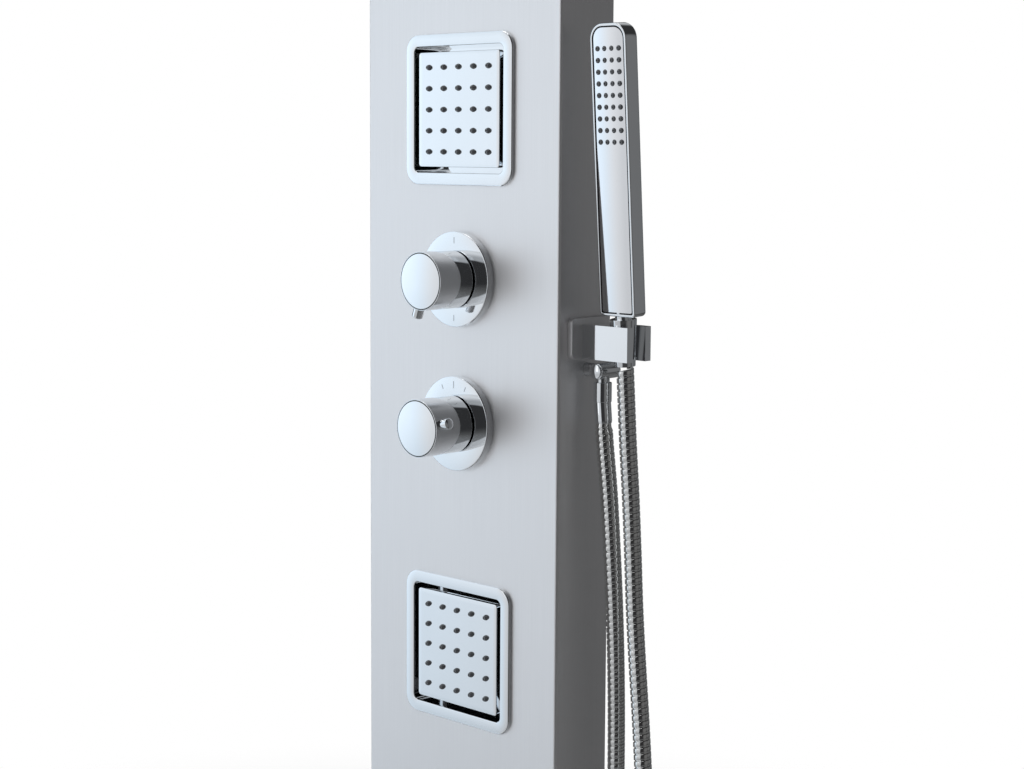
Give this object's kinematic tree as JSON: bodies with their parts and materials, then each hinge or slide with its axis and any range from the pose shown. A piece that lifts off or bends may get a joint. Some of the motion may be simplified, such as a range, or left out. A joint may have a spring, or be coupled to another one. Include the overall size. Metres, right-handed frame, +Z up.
{
  "type": "rainfall shower column",
  "caption": "Wall-hung stainless shower column with a square rain head on an arm, square body jets, round mixer and diverter knobs, and a slim hand shower on a steel hose.",
  "frame": {"origin": "centre of the four wall screws, in the plane of the wall", "axes": "+Y into the wall, +Z up, +X to the hand shower's side"},
  "size_m": [0.3298, 0.45, 1.407],
  "materials": {
    "satin_steel": "satin brushed",
    "chrome": "mirror plated",
    "zinc_steel": "bright zinc plated",
    "brass": "cast and machined",
    "black_plastic": "moulded",
    "grey_plastic": "moulded",
    "white_plastic": "moulded",
    "nozzle_rubber": "soft matt silicone",
    "braid": "braided",
    "hose_steel": "interlocked strip, plated",
    "hand_face": "satin plated"
  },
  "bodies": {
    "root": {"panel_shell": "satin_steel", "top_cap": "satin_steel", "bottom_cap": "satin_steel", "upper_wall_bracket": "zinc_steel", "lower_wall_bracket": "zinc_steel", "upper_hanger_rail": "zinc_steel", "lower_hanger_rail": "zinc_steel", "upper_jet_bezel": "chrome", "upper_jet_housing": "chrome", "lower_jet_bezel": "chrome", "lower_jet_housing": "chrome", "valve_body": "brass", "hot_inlet": "brass", "cold_inlet": "brass", "mixer_cartridge": "white_plastic", "mixer_bonnet_nut": "brass", "mixer_flange": "chrome", "diverter_cartridge": "white_plastic", "diverter_bonnet_nut": "brass", "diverter_flange": "chrome", "upper_jet_feed": "braid", "lower_jet_feed": "braid", "rain_riser": "braid", "handset_feed": "braid", "arm_flange": "chrome", "arm_lock_nut": "brass", "rain_arm": "chrome", "arm_ball": "chrome", "holder_plate": "satin_steel", "holder_block": "chrome", "holder_screws": "zinc_steel", "outlet_body": "chrome", "outlet_cap": "chrome", "hose_nut": "chrome", "shower_hose": "hose_steel"},
    "mixer_handle": {"mixer_stem": "brass", "mixer_knob": "chrome", "mixer_peg": "chrome"},
    "diverter_handle": {"diverter_stem": "brass", "diverter_knob": "chrome", "diverter_peg": "chrome"},
    "upper_jet_ring": {"upper_jet_seat": "white_plastic"},
    "upper_jet_plate": {"upper_jet_ball": "brass", "upper_jet_back": "grey_plastic", "upper_jet_face": "chrome", "upper_jet_nozzles": "nozzle_rubber"},
    "lower_jet_ring": {"lower_jet_seat": "white_plastic"},
    "lower_jet_plate": {"lower_jet_ball": "brass", "lower_jet_back": "grey_plastic", "lower_jet_face": "chrome", "lower_jet_nozzles": "nozzle_rubber"},
    "head_ring": {"arm_seat": "white_plastic"},
    "rain_head": {"arm_collar": "chrome", "rain_head_back": "chrome", "rain_head_face": "chrome", "rain_head_nozzles": "nozzle_rubber"},
    "hand_shower": {"handset_body": "chrome", "handset_face": "hand_face", "handset_nozzles": "nozzle_rubber", "hose_cone_nut": "chrome"}
  },
  "joints": [
    {"name": "mixer_turn", "type": "hinge", "parent": "root", "child": "mixer_handle", "pos_m": [0, -0.06, 0.0335], "axis": [0, -1, 0], "range_deg": [-70, 110]},
    {"name": "diverter_turn", "type": "hinge", "parent": "root", "child": "diverter_handle", "pos_m": [0, -0.06, -0.0845], "axis": [0, -1, 0], "continuous": true},
    {"name": "upper_jet_tilt", "type": "hinge", "parent": "root", "child": "upper_jet_ring", "pos_m": [0, -0.036, 0.17], "axis": [1, 0, 0], "range_deg": [-6, 6]},
    {"name": "upper_jet_swivel", "type": "hinge", "parent": "upper_jet_ring", "child": "upper_jet_plate", "pos_m": [0, -0.036, 0.17], "axis": [0, 0, 1], "range_deg": [-6, 6]},
    {"name": "lower_jet_tilt", "type": "hinge", "parent": "root", "child": "lower_jet_ring", "pos_m": [0, -0.036, -0.275], "axis": [1, 0, 0], "range_deg": [-6, 6]},
    {"name": "lower_jet_swivel", "type": "hinge", "parent": "lower_jet_ring", "child": "lower_jet_plate", "pos_m": [0, -0.036, -0.275], "axis": [0, 0, 1], "range_deg": [-6, 6]},
    {"name": "head_tilt", "type": "hinge", "parent": "root", "child": "head_ring", "pos_m": [0, -0.35, 0.5], "axis": [1, 0, 0], "range_deg": [-12, 12]},
    {"name": "head_roll", "type": "hinge", "parent": "head_ring", "child": "rain_head", "pos_m": [0, -0.35, 0.5], "axis": [0, 1, 0], "range_deg": [-12, 12]},
    {"name": "hand_lift", "type": "slide", "parent": "root", "child": "hand_shower", "axis": [0, -0.0698, 0.9976], "range_m": [0, 0.06]}
  ]
}
